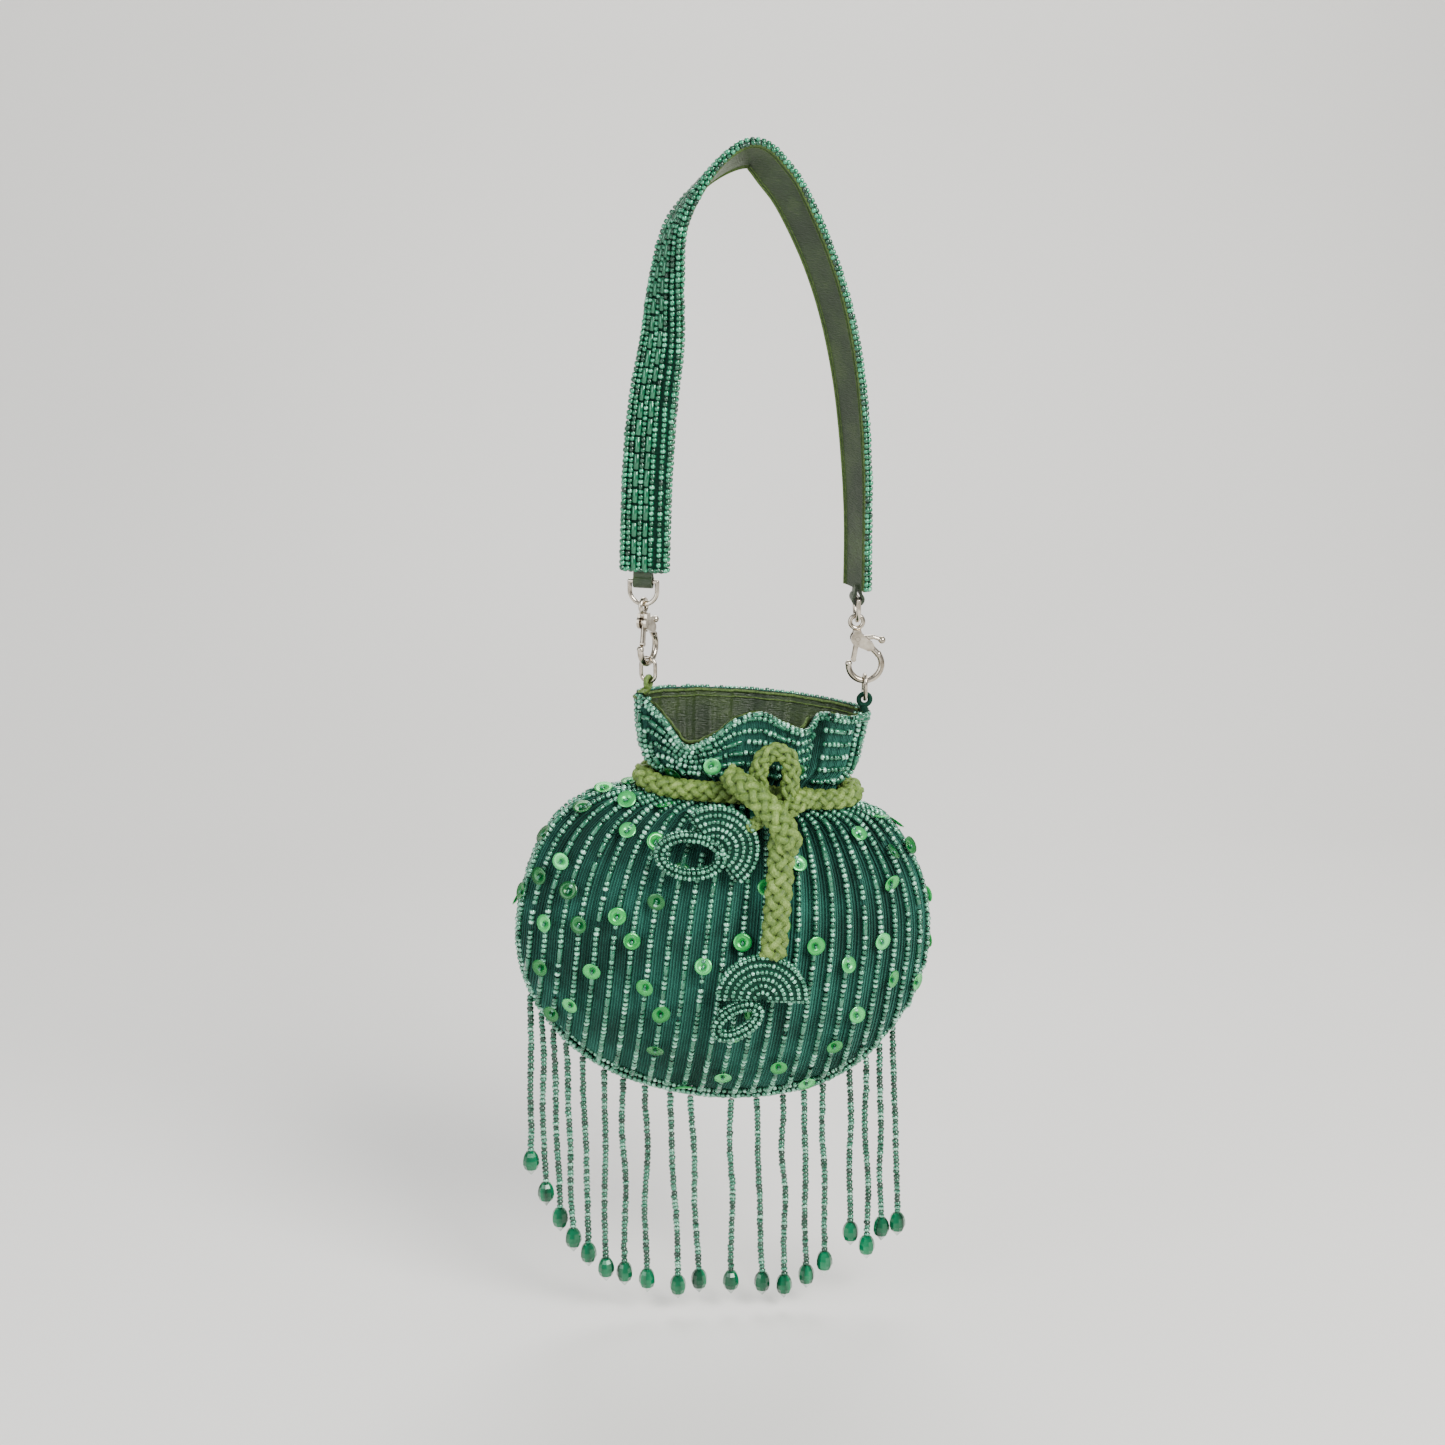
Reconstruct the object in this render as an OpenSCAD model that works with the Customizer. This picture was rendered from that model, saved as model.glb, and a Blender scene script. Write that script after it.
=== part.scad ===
/* [Pouch] */
// Height of the mouth corner above the gathered neck
mouth_h = 28; // [22:1:34]
// Roll of the hanging pouch, right side down, in degrees
roll = 6; // [0:0.5:8]
// Thickness of the velvet with its interlining
velvet_t = 1.2; // [0.8:0.1:1.6]
// Thickness of the satin lining
lining_t = 0.6; // [0.4:0.1:0.8]
// Diameter of the beaded piping on the side seam
piping_d = 2.6; // [2:0.2:2.8]

/* [Handle strap] */
// Width of the strap
strap_w = 15.6; // [12:0.2:18]
// Thickness of the beaded face
face_t = 2; // [1.4:0.1:2.4]
// Thickness of the satin backing
backing_t = 1.2; // [0.8:0.1:1.6]

/* [Metal fittings] */
// Wire of the D-rings
dring_wire = 1.5; // [1.2:0.1:1.6]
// Height of a D-ring between wire centres
dring_h = 7.6; // [7:0.2:8.4]
// Outer diameter of the eye of a clasp
eye_d = 5.8; // [5.4:0.1:6]
// Wire of the hook of a clasp
hook_wire = 2.1; // [1.8:0.1:2.2]
// Wire of the bag rings
ring_wire = 1.3; // [1:0.1:1.4]
// Height of a bag ring between wire centres
ring_h = 8.2; // [8:0.1:8.4]

/* [Drawcord] */
// Diameter of the braided cord round the neck
cord_d = 7.4; // [6:0.2:7.6]
// Width of the cord ends
tail_d = 8.4; // [7:0.2:9]

/* [Fringe] */
// Diameter of a strand of seed beads
strand_d = 2.4; // [1.8:0.1:2.4]
// Diameter of a drop
drop_d = 5.5; // [4.6:0.1:5.6]
// Length of a drop
drop_h = 9; // [7:0.5:10]

/* [Hidden] */
function two_digits(i) = i < 10 ? str("0", i) : str(i);
function strand_name(i) = str("strand_", two_digits(i));
function drop_name(i) = str("drop_", two_digits(i));

$fn = 32;
teal = [0.03, 0.27, 0.2];
mint = [0.35, 0.72, 0.55];
olive = [0.2, 0.3, 0.1];
lime = [0.4, 0.6, 0.25];
silver = [0.8, 0.79, 0.76];
emerald = [0.0, 0.5, 0.32];

// ---- curves and surfaces ----

// Catmull-Rom value of a list at u, where whole numbers fall on the list's own entries
function at(list, i) = list[max(0, min(len(list) - 1, i))];
function spline(list, u) =
    let (i = min(floor(u), len(list) - 2), f = u - i,
         p = at(list, i - 1), q = at(list, i), r = at(list, i + 1), s = at(list, i + 2))
    0.5 * (2 * q + (r - p) * f + (2 * p - 5 * q + 4 * r - s) * f * f
        + (3 * q - p - 3 * r + s) * f * f * f);
function sampled(list, n) = [for (k = [0:n]) spline(list, k * (len(list) - 1) / n)];
function unit(v) = v / norm(v);

// Faces of a closed block of rings, each ring having m points
function ring_faces(n, m) = concat(
    [[for (k = [0:m - 1]) k]],
    [for (i = [0:n - 2], k = [0:m - 1])
        each [[i * m + k, (i + 1) * m + k, (i + 1) * m + (k + 1) % m],
              [i * m + k, (i + 1) * m + (k + 1) % m, i * m + (k + 1) % m]]],
    [[for (k = [m - 1:-1:0]) (n - 1) * m + k]]);
function wrap_faces(n, m) =
    [for (i = [0:n - 1], k = [0:m - 1])
        each [[i * m + k, ((i + 1) % n) * m + k, ((i + 1) % n) * m + (k + 1) % m],
              [i * m + k, ((i + 1) % n) * m + (k + 1) % m, i * m + (k + 1) % m]]];

// Tangent of a path at point i, and the ring of a round tube there
function tangent(path, i) = unit(at(path, i + 1) - at(path, i - 1));
function tube_ring(c, t, r, sides, up) =
    let (a = unit(cross(t, up)), b = cross(t, a))
    [for (k = [0:sides - 1]) c + r * (cos(360 * k / sides) * a + sin(360 * k / sides) * b)];
module tube(path, d, sides, up = [0, 1, 0]) {
    n = len(path);
    polyhedron([for (i = [0:n - 1]) each tube_ring(path[i], tangent(path, i), d / 2, sides, up)],
        ring_faces(n, sides));
}

// ---- pouch ----

// The neck's centre, which the pouch rolls about
NECK = [-0.25, 0, -204.6];
// Height over the neck, half width left, half width right, half depth: mouth first, bottom last
PROFILE = [
    [mouth_h, 41, 38.5, 17],
    [20, 40.5, 37.5, 16],
    [8, 37.5, 36, 13.5],
    [2.5, 31.6, 31.6, 11.6],
    [-2.5, 31.4, 31.4, 11.6],
    [-5, 41, 38, 14.5],
    [-8, 53, 47.5, 18.5],
    [-16, 63, 55.5, 23],
    [-27, 69, 62.5, 25.5],
    [-41, 72.6, 67, 27],
    [-57, 73.6, 68, 27.4],
    [-72, 70.6, 65.5, 26],
    [-86, 63.2, 58.5, 22],
    [-97.5, 51.5, 49, 16],
    [-106, 36, 35.5, 10],
    [-111, 18, 19, 4.5],
    [-112.8, 4, 5, 0]];
LAST = len(PROFILE) - 1;
// How far the front of the mouth sags below the back, from the left corner to the right one
FRONT_SAG = [0, 5, 13, 9, 1.5, -1, 2, 4, -1, 0, 0];
// How sharply the section closes at the side seam
SECTION = 0.6;
// How far below the neck the cloth starts to rise off the seam, and over what height
LIFT_FROM = 66;
LIFT_OVER = 40;
// Clearance between the velvet and the lining
LINING_GAP = 0.3;

function rolled(p) =
    NECK + [p[0] * cos(roll) + p[2] * sin(roll), p[1], p[2] * cos(roll) - p[0] * sin(roll)];
SAG_FADE = 1.5;
function sag(t, w) =
    w <= 0 ? 0 : spline(FRONT_SAG, (t + 1) / 2 * (len(FRONT_SAG) - 1)) * pow(w / mouth_h, SAG_FADE);
// A point of the pouch at t across (-1 left seam, 1 right seam), row u, a given depth under the
// outer cloth; side is -1 on the front and 1 on the back. The cloth ends beside the piping, and
// above it along the bottom
function cloth(t, u, under, side) =
    let (p = spline(PROFILE, u), w = p[0], inset = piping_d + under,
         half = max(0.3, (t < 0 ? p[1] : p[2]) - inset),
         deep = max(0, p[3] - under),
         lift = inset * max(0, min(1, (-w - LIFT_FROM) / LIFT_OVER)))
    rolled([t * half, side * deep * pow(max(0, 1 - t * t), SECTION),
            w + lift - (side < 0 ? sag(t, w) : 0)]);
function column(k, n) = sin(90 * (2 * k / n - 1));

// A curved sheet of cloth between two depths under the outer surface
module panel(side, outside, inside, across, down) {
    m = across + 1;
    layer = (down + 1) * m;
    points = [for (under = [outside, inside], i = [0:down], k = [0:across])
        cloth(column(k, across), i * LAST / down, under, side)];
    function quad(a, b, c, d) = [[a, b, c], [a, c, d]];
    faces = concat(
        [for (i = [0:down - 1], k = [0:across - 1])
            each quad(i * m + k, i * m + k + 1, (i + 1) * m + k + 1, (i + 1) * m + k)],
        [for (i = [0:down - 1], k = [0:across - 1])
            each quad(layer + i * m + k, layer + (i + 1) * m + k,
                layer + (i + 1) * m + k + 1, layer + i * m + k + 1)],
        [for (k = [0:across - 1])
            each quad(k, layer + k, layer + k + 1, k + 1)],
        [for (k = [0:across - 1])
            each quad(down * m + k, down * m + k + 1, layer + down * m + k + 1, layer + down * m + k)],
        [for (i = [0:down - 1])
            each quad(i * m, (i + 1) * m, layer + (i + 1) * m, layer + i * m)],
        [for (i = [0:down - 1])
            each quad(i * m + across, layer + i * m + across,
                layer + (i + 1) * m + across, (i + 1) * m + across)]);
    polyhedron(points, side < 0 ? faces : [for (f = faces) [f[2], f[1], f[0]]]);
}
// Divisions of a panel across the pouch and down it
ACROSS = 16;
DOWN = 34;
module outer_front() { color(teal) panel(-1, 0, velvet_t, ACROSS, DOWN); }
module outer_back() { color(teal) panel(1, 0, velvet_t, ACROSS, DOWN); }
module lining() {
    color(olive)
        for (side = [-1, 1])
            panel(side, velvet_t + LINING_GAP, velvet_t + LINING_GAP + lining_t, ACROSS, DOWN);
}

// The seam's own line on one side at row u, along the middle of the piping, which rides on top
// of the shoulder and under the bottom edge
SHOULDER_RISE = 1.1;
BOTTOM_DROP = 0.9;
function seam_point(u, side) =
    let (p = spline(PROFILE, u), w = p[0], out = piping_d / 2 - 0.1,
         rise = w < 0 ? SHOULDER_RISE * max(0, min(1, (w + 30) / 22)) : 0)
    rolled([side * ((side < 0 ? p[1] : p[2]) - out), 0, w + rise - (u > LAST - 1 ? BOTTOM_DROP : 0)]);
function seam_line(side, from, to, steps) =
    [for (k = [0:steps]) seam_point(from + (to - from) * k / steps, side)];
// The piping stops where the drawcord grips the neck
NECK_FROM = 1.9;
NECK_TO = 5.3;
SEAM = concat(seam_line(-1, NECK_TO, LAST, 24), seam_line(1, LAST, NECK_TO, 24));
module seam_piping() {
    color(mint) {
        tube(SEAM, piping_d - 0.3, 8);
        for (side = [-1, 1])
            tube(seam_line(side, 0, NECK_FROM, 6), piping_d - 0.3, 8);
    }
}
// Height of the seam's lower run at a given x
SEAM_LOW = [for (p = SEAM) if (p[2] < -262) [p[0], p[2]]];

// ---- drawcord, knot, cord ends and their tassels ----

CORD_RING = [35.2, 15.6];
RING_STEPS = 32;
CORD_PATH = [for (k = [0:RING_STEPS - 1])
    rolled([CORD_RING[0] * cos(360 * k / RING_STEPS), CORD_RING[1] * sin(360 * k / RING_STEPS), 0])];
module drawcord_loop() {
    sides = 10;
    rings = [for (i = [0:RING_STEPS - 1])
        each tube_ring(CORD_PATH[i],
            unit(CORD_PATH[(i + 1) % RING_STEPS] - CORD_PATH[(i + RING_STEPS - 1) % RING_STEPS]),
            cord_d / 2, sides, [0, 0, 1])];
    color(lime) polyhedron(rings, wrap_faces(RING_STEPS, sides));
}

// The knot sits on the front of the cord; a bow stands up out of it
KNOT = [8.4, -25.2, -205];
KNOT_LUMPS = [[[-7.5, 0, 2.5], 4.6], [[5.5, 0, 1], 4.8], [[1.5, -1, -4], 4.6]];
bow_d = 4.4;
BOW = [[2.2, -23.6, -203], [0.6, -23.2, -196], [2.4, -22.6, -189.5], [7, -22.4, -187.4],
    [10.8, -22.6, -190], [11.4, -23.2, -196], [9.8, -23.6, -203]];
module drawcord_knot() {
    color(lime) {
        hull()
            for (lump = KNOT_LUMPS)
                translate(KNOT + lump[0]) sphere(lump[1], $fn = 20);
        tube(sampled(BOW, 14), bow_d, 10);
    }
}

// Where each cord end leaves the knot, and how it hangs
FRONT_TAIL = [[7.6, -30.6, -216.2], [7.1, -32, -226], [6, -33.2, -238], [5, -33.6, -250.6]];
SIDE_TAIL = [[0.3, -29.9, -208.5], [-0.6, -29.9, -209.1], [-1.9, -29.9, -209.9]];
module cord_tail_front() { color(lime) tube(sampled(FRONT_TAIL, 12), tail_d, 10); }
// The side end is drawn tight, so little of it shows between the knot and its tassel
side_tail_d = 4;
module cord_tail_side() { color(lime) tube(sampled(SIDE_TAIL, 4), side_tail_d, 10); }

// A half-round fan of beads, with an oval loop of beads on its straight edge
bead_loop_d = 3.8;
module tassel(fan_r, fan_t, loop_at, loop_r) {
    rotate([90, 0, 0])
        linear_extrude(fan_t, center = true)
            difference() {
                circle(fan_r, $fn = 48);
                translate([-2 * fan_r, -2 * fan_r]) square([4 * fan_r, 2 * fan_r]);
            }
    translate([loop_at[0], 0, loop_at[1]])
        rotate([90, 0, 0])
            rotate_extrude($fn = 48) translate([loop_r, 0]) circle(bead_loop_d / 2, $fn = 24);
}
module tassel_front() {
    color(mint) translate([1, -33.6, -268.6]) rotate([0, 4, 0]) tassel(15.4, 4, [-7.6, -6.9], 5.4);
}
module tassel_side() {
    color(mint)
        translate([-14.2, -29.8, -217.4]) rotate([0, 56, 0]) tassel(14.2, 3.6, [-1.8, -8.2], 6.8);
}

// ---- fringe ----

// Where each strand leaves the seam, where its drop hangs, and the height of the drop's tip
FRINGE = [
    [-74.4, -75.6, -345], [-71, -70.6, -357], [-67, -65.9, -367], [-62.8, -61.4, -375],
    [-57, -56.2, -381], [-49.9, -50.1, -387], [-43.3, -43.6, -389], [-35.8, -35.7, -392],
    [-27.2, -24.8, -395], [-20.3, -17.3, -393], [-6, -6, -394], [2.7, 5.1, -395],
    [12.1, 12.9, -396.5], [19.3, 20.8, -393], [25.9, 27.2, -388], [35.2, 36.4, -377],
    [41, 42.2, -382.5], [45.4, 47.3, -375.6], [50, 53, -374]];
DROP_TURN = 0.36;
// Clearance between the piping and the top of a strand
STRAND_GAP = 0.25;
// A strand starts under the piping, lower where the seam is steep
function strand_top(i) =
    let (x = FRINGE[i - 1][0],
         slope = lookup(x + 0.6, SEAM_LOW) - lookup(x - 0.6, SEAM_LOW),
         gap = (piping_d / 2 + STRAND_GAP) * sqrt(1 + slope * slope) + strand_d / 2 * abs(slope))
    [x, 0, lookup(x, SEAM_LOW) - gap];
function drop_top(i) = let (f = FRINGE[i - 1]) [f[1], 0, f[2] + drop_h];
// A strand hangs in a slight wave, one way and then the other
function strand_path(i) =
    let (a = strand_top(i), b = drop_top(i), wave = (i % 2 == 0 ? 0.25 : -0.25))
    [a, a + (b - a) * 0.3 + [wave, 0, 0], a + (b - a) * 0.65 - [wave, 0, 0], b];
module strand(i) { color(mint) tube(strand_path(i), strand_d, 8); }
module drop(i) {
    neck_r = strand_d / 2 - 0.3;
    color(emerald)
        translate(drop_top(i) - [0, 0, drop_h])
            rotate_extrude($fn = 12)
                polygon([[0, 0], [0.6, 0.2], [drop_d / 2, drop_h * DROP_TURN],
                    [drop_d * 0.38, drop_h * 0.68], [neck_r, drop_h - 0.02], [0, drop_h - 0.02]]);
}

// ---- handle strap ----

// The strap's middle line, left end first, and its turn about that line in degrees
STRAP = [[-34.6, 0, -131.6], [-34, 0, -113.6], [-33.1, 0, -95], [-31.3, 0, -75.6], [-28.3, 0, -56.5],
    [-26.6, 0, -37], [-23, 0, -19.6], [-12, 0, -5], [0, 0, 1.4], [8, 0, -5.6], [14, 0, -14.6],
    [22, 0, -32], [28, 0, -50.8], [32.2, 0, -73], [34.6, 0, -98], [35.4, 0, -119], [35.4, 0, -138.4]];
TURN = [72, 72, 70, 62, 48, 30, 11, -12, -34, -42, -38, -34, -32, -28, -24, -20, -20];
STRAP_STEPS = 144;
function strap_line(k) = spline(STRAP, k * (len(STRAP) - 1) / STRAP_STEPS);
function strap_turn(k) = spline(TURN, k * (len(TURN) - 1) / STRAP_STEPS);
function strap_tangent(k) = unit(strap_line(min(STRAP_STEPS, k + 1)) - strap_line(max(0, k - 1)));
// Across the strap, and out of its beaded face
function strap_across(k) =
    let (t = strap_tangent(k), y = [0, 1, 0]) cos(strap_turn(k)) * y + sin(strap_turn(k)) * cross(t, y);
function strap_out(k) = cross(strap_tangent(k), strap_across(k));
module ribbon(from, to, width) {
    points = [for (k = [0:STRAP_STEPS])
        let (c = strap_line(k), a = strap_across(k) * width / 2, o = strap_out(k))
        each [c + a + o * from, c + a + o * to, c - a + o * to, c - a + o * from]];
    polyhedron(points, ring_faces(STRAP_STEPS + 1, 4));
}
// The strap's middle line runs just inside the beaded face
FACE_FROM = -0.1;
// Clearance between the face and the backing, and the height of the backing's inner side
BACKING_GAP = 0.4;
BACKING_FROM = FACE_FROM - BACKING_GAP - backing_t + 0.2;
module strap_face() { color(mint) ribbon(FACE_FROM, FACE_FROM + face_t, strap_w); }

// The backing folds round the bar of each D-ring in a short sewn loop
keeper_r = dring_wire / 2 + 1.3;
keeper_l = 6.4;
DRING_LEFT = [-34.9, 0, -135];
DRING_RIGHT = [35.4, 0, -141.9];
LEFT_FACING = -18;
RIGHT_FACING = 90;
// A loop with some play round the bar, and a tongue that runs up into the backing
module keeper(play, tongue_y) {
    round_r = keeper_r + play;
    tongue = [4, 1, keeper_l];
    rotate([0, 90, 0])
        difference() {
            union() {
                cylinder(keeper_l, round_r, round_r, center = true);
                translate([-round_r - 1, tongue_y, 0]) cube(tongue, center = true);
            }
            cylinder(keeper_l + 2, dring_wire / 2 + play, dring_wire / 2 + play, center = true);
        }
}
module strap_backing() {
    color(olive) {
        ribbon(BACKING_FROM, FACE_FROM - BACKING_GAP, strap_w - 1);
        translate(DRING_LEFT) rotate([0, 0, LEFT_FACING]) keeper(0.2, 0.9);
        translate(DRING_RIGHT) rotate([0, 0, RIGHT_FACING]) keeper(0.7, 2.1);
    }
}

// ---- metal fittings ----

// A D-ring whose bar runs along X through the origin, hanging down
dring_half_w = 4.6;
module dring() {
    r = dring_wire / 2;
    bend = dring_half_w;
    leg = dring_h - bend;
    color(silver) {
        rotate([0, 90, 0]) cylinder(2 * dring_half_w, r, r, center = true);
        for (s = [-1, 1]) {
            translate([s * dring_half_w, 0, 0]) sphere(r);
            translate([s * dring_half_w, 0, -leg]) cylinder(leg, r, r);
        }
        translate([0, 0, -leg])
            rotate([90, 180, 0])
                rotate_extrude(angle = 180) translate([bend, 0]) circle(r);
    }
}
module dring_left() { translate(DRING_LEFT) rotate([0, 0, LEFT_FACING]) dring(); }
module dring_right() { translate(DRING_RIGHT) rotate([0, 0, RIGHT_FACING]) dring(); }

// A clasp in the XZ plane with its eye at the origin: the hook's loop hangs down to the right
eye_wire = 1.5;
eye_r = (eye_d - eye_wire) / 2;
LOOP = [3, 0, -14.6];
loop_r = 5.5;
// Where the round of the hook meets the spine, and where its tip ends, in degrees
spine_turn = 38;
tip_turn = 176;
PIVOT = [0.3, 0, -5.6];
pivot_r = 0.75;
SHOULDER = [4.5, 0, -8.3];
cheek_t = 0.9;
slot_half = 0.85;
// Outlines of the cheek's body and of its neck under the eye, and the radii of its two ends
CHEEK_BODY = [[1.6, -3.8], [5.3, -7.1], [3, -9.4], [-0.9, -7.6]];
CHEEK_NECK = [[-1, -2.6], [1.4, -2.6], [1.8, -5], [-1.4, -5]];
pivot_end_r = 2.3;
spine_end_r = 1.6;
SPINE_END = SHOULDER + [-0.3, 0, 0.1];
module rod(a, b, d) {
    v = b - a;
    translate(a)
        rotate([0, acos(v[2] / norm(v)), atan2(v[1], v[0])])
            cylinder(norm(v), d / 2, d / 2);
}
function on_loop(angle) = LOOP + loop_r * [cos(angle), 0, sin(angle)];
module clasp() {
    r = hook_wire / 2;
    tip = on_loop(tip_turn);
    start = on_loop(spine_turn);
    color(silver) {
        rotate([90, 0, 0]) rotate_extrude($fn = 40) translate([eye_r, 0]) circle(eye_wire / 2);
        // Two cheeks below the eye hold the lever between them
        for (side = [-1, 1])
            translate([0, side * (slot_half + cheek_t / 2), 0])
                rotate([90, 0, 0])
                    linear_extrude(cheek_t, center = true)
                        difference() {
                            union() {
                                translate([PIVOT[0], PIVOT[2]]) circle(pivot_end_r);
                                translate([SPINE_END[0], SPINE_END[2]]) circle(spine_end_r);
                                polygon(CHEEK_BODY);
                                polygon(CHEEK_NECK);
                            }
                            translate([PIVOT[0], PIVOT[2]]) circle(pivot_r + 0.06);
                        }
        translate([0.2, 0, -2.95]) cube([2.2, 2 * slot_half + 0.4, 0.9], center = true);
        translate(SPINE_END) rotate([90, 0, 0])
            cylinder(2 * slot_half + 0.4, 1.3, 1.3, center = true);
        // The spine, the round of the hook and its rounded tip
        rod(SHOULDER, start, hook_wire);
        translate(LOOP) rotate([90, 0, 0]) rotate([0, 0, tip_turn])
            rotate_extrude(angle = 360 - tip_turn + spine_turn, $fn = 48)
                translate([loop_r, 0]) circle(r);
        translate(start) sphere(r + 0.15);
        translate(tip) sphere(r + 0.15);
    }
}
// The lever closes the hook: a gate below its pivot pin and a thumb knob beyond the body
module lever() {
    gate_tip = [-0.9, 0, -12.7];
    bend = [5.6, 0, -5.3];
    knob = [8.5, 0, -6.4];
    plate = 2 * slot_half - 0.3;
    color(silver) {
        translate(PIVOT) rotate([90, 0, 0]) cylinder(plate, 1.35, 1.35, center = true);
        translate(PIVOT) rotate([90, 0, 0])
            cylinder(2 * (slot_half + cheek_t), pivot_r, pivot_r, center = true);
        intersection() {
            union() {
                rod(PIVOT, gate_tip, 1.8);
                rod(PIVOT, bend, 1.6);
            }
            cube([40, plate, 40], center = true);
        }
        rod(bend, knob, 1.3);
        translate(bend) sphere(0.7);
        translate(knob) sphere(1.25);
        translate(gate_tip) rotate([90, 0, 0]) cylinder(plate, 0.9, 0.9, center = true);
    }
}

// The chain on each side: the eye hangs in the D-ring, the bag ring in the hook
LINK_PLAY = 0.15;
EYE_DROP = -dring_h + (dring_wire + eye_wire) / 2 + LINK_PLAY - eye_r;
CLASP_TURN = [60, 0];
EYE_LEFT = DRING_LEFT + [0, 0, EYE_DROP];
EYE_RIGHT = DRING_RIGHT + [0, 0, EYE_DROP];
module place_left() { translate(EYE_LEFT) rotate([0, 0, CLASP_TURN[0]]) children(); }
module place_right() { translate(EYE_RIGHT) rotate([0, 0, CLASP_TURN[1]]) children(); }
module clasp_left() { place_left() clasp(); }
module clasp_right() { place_right() clasp(); }
module lever_left() { place_left() lever(); }
module lever_right() { place_right() lever(); }

// A long link in the XZ plane, its top wire at the origin
ring_half_w = 2.6;
module bag_ring() {
    r = ring_wire / 2;
    side = ring_h - 2 * ring_half_w;
    color(silver)
        for (s = [-1, 1]) {
            translate([s * ring_half_w, 0, -ring_half_w - side]) cylinder(side, r, r);
            translate([0, 0, -ring_half_w - (s > 0 ? 0 : side)])
                rotate([90, s > 0 ? 0 : 180, 0])
                    rotate_extrude(angle = 180) translate([ring_half_w, 0]) circle(r);
        }
}
HOOK_LOW = LOOP + [0, 0, -loop_r];
RING_DROP = (hook_wire + ring_wire) / 2 + LINK_PLAY;
function turned(v, a) = [v[0] * cos(a) - v[1] * sin(a), v[0] * sin(a) + v[1] * cos(a), v[2]];
RING_LEFT = EYE_LEFT + turned(HOOK_LOW, CLASP_TURN[0]) + [0, 0, RING_DROP];
RING_RIGHT = EYE_RIGHT + turned(HOOK_LOW, CLASP_TURN[1]) + [0, 0, RING_DROP];
module bag_ring_left() { translate(RING_LEFT) rotate([0, 0, CLASP_TURN[0] - 90]) bag_ring(); }
module bag_ring_right() { translate(RING_RIGHT) rotate([0, 0, CLASP_TURN[1] + 90]) bag_ring(); }

// A fabric tab at each corner of the mouth, its loop round the ring's lower wire
tab_wire = 1.8;
tab_r = 1.9;
TAB_DROP = (tab_wire + ring_wire) / 2 + LINK_PLAY;
module tab(foot) {
    rotate([90, 0, 0]) rotate_extrude($fn = 40) translate([tab_r, 0]) circle(tab_wire / 2);
    translate([0, 0, -tab_r - foot]) cylinder(foot, 1.2, 1.2);
}
TAB_LEFT = RING_LEFT + [0, 0, -ring_h + TAB_DROP - tab_r];
TAB_RIGHT = RING_RIGHT + [0, 0, -ring_h + TAB_DROP - tab_r];
module tab_left() { color(lime) translate(TAB_LEFT) rotate([0, 0, CLASP_TURN[0]]) tab(0.95); }
module tab_right() { color(lime) translate(TAB_RIGHT) rotate([0, 0, CLASP_TURN[1]]) tab(1.8); }

strap_face();
strap_backing();
dring_left();
dring_right();
clasp_left();
clasp_right();
lever_left();
lever_right();
bag_ring_left();
bag_ring_right();
tab_left();
tab_right();
outer_front();
outer_back();
lining();
seam_piping();
drawcord_loop();
drawcord_knot();
cord_tail_front();
cord_tail_side();
tassel_front();
tassel_side();
for (i = [1:19])
    strand(i);
for (i = [1:19])
    drop(i);
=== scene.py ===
import math
import bpy
import numpy as np
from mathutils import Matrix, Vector


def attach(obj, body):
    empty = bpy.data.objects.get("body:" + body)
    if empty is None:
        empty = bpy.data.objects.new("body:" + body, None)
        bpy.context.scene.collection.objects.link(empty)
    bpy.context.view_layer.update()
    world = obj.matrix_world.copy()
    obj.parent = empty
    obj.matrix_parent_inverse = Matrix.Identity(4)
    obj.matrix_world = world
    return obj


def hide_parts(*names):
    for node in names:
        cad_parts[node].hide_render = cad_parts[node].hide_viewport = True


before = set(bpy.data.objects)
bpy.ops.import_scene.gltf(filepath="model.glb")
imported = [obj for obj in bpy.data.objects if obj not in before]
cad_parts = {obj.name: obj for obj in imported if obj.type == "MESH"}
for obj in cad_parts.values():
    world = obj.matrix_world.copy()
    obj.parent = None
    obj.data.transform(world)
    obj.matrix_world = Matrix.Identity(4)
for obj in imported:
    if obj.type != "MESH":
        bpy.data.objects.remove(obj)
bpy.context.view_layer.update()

MM = 0.001
rng = np.random.default_rng(11)

# ---- camera ----

CAMERA_AT = (-81.3, -826.8, 54.5)
CAMERA_AIM = (-9, 0, -183.5)


def aim(obj, at, target):
    obj.location = Vector(at) * MM
    obj.rotation_euler = (Vector(target) * MM - obj.location).to_track_quat("-Z", "Y").to_euler()


camera = bpy.data.objects.new("camera", bpy.data.cameras.new("camera"))
bpy.context.scene.collection.objects.link(camera)
camera.data.lens = 64.8
camera.data.sensor_width = 36
camera.data.clip_start = 0.01
aim(camera, CAMERA_AT, CAMERA_AIM)
bpy.context.scene.camera = camera

# ---- curves and meshes, all in millimetres ----


def spline(rows, u):
    """Catmull-Rom value of a list at u, where whole numbers fall on the list's own entries."""
    rows = np.asarray(rows, float)
    u = np.asarray(u, float)
    i = np.clip(np.floor(u).astype(int), 0, len(rows) - 2)
    f = (u - i).reshape(u.shape + (1,) * (rows.ndim - 1))
    p, q, r, s = (rows[np.clip(i + k, 0, len(rows) - 1)] for k in (-1, 0, 1, 2))
    return 0.5 * (2 * q + (r - p) * f + (2 * p - 5 * q + 4 * r - s) * f**2
                  + (3 * q - p - 3 * r + s) * f**3)


def sampled(rows, n):
    return spline(rows, np.linspace(0, len(rows) - 1, n))


def unit(v):
    return v / np.maximum(np.linalg.norm(v, axis=-1, keepdims=True), 1e-9)


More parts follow.
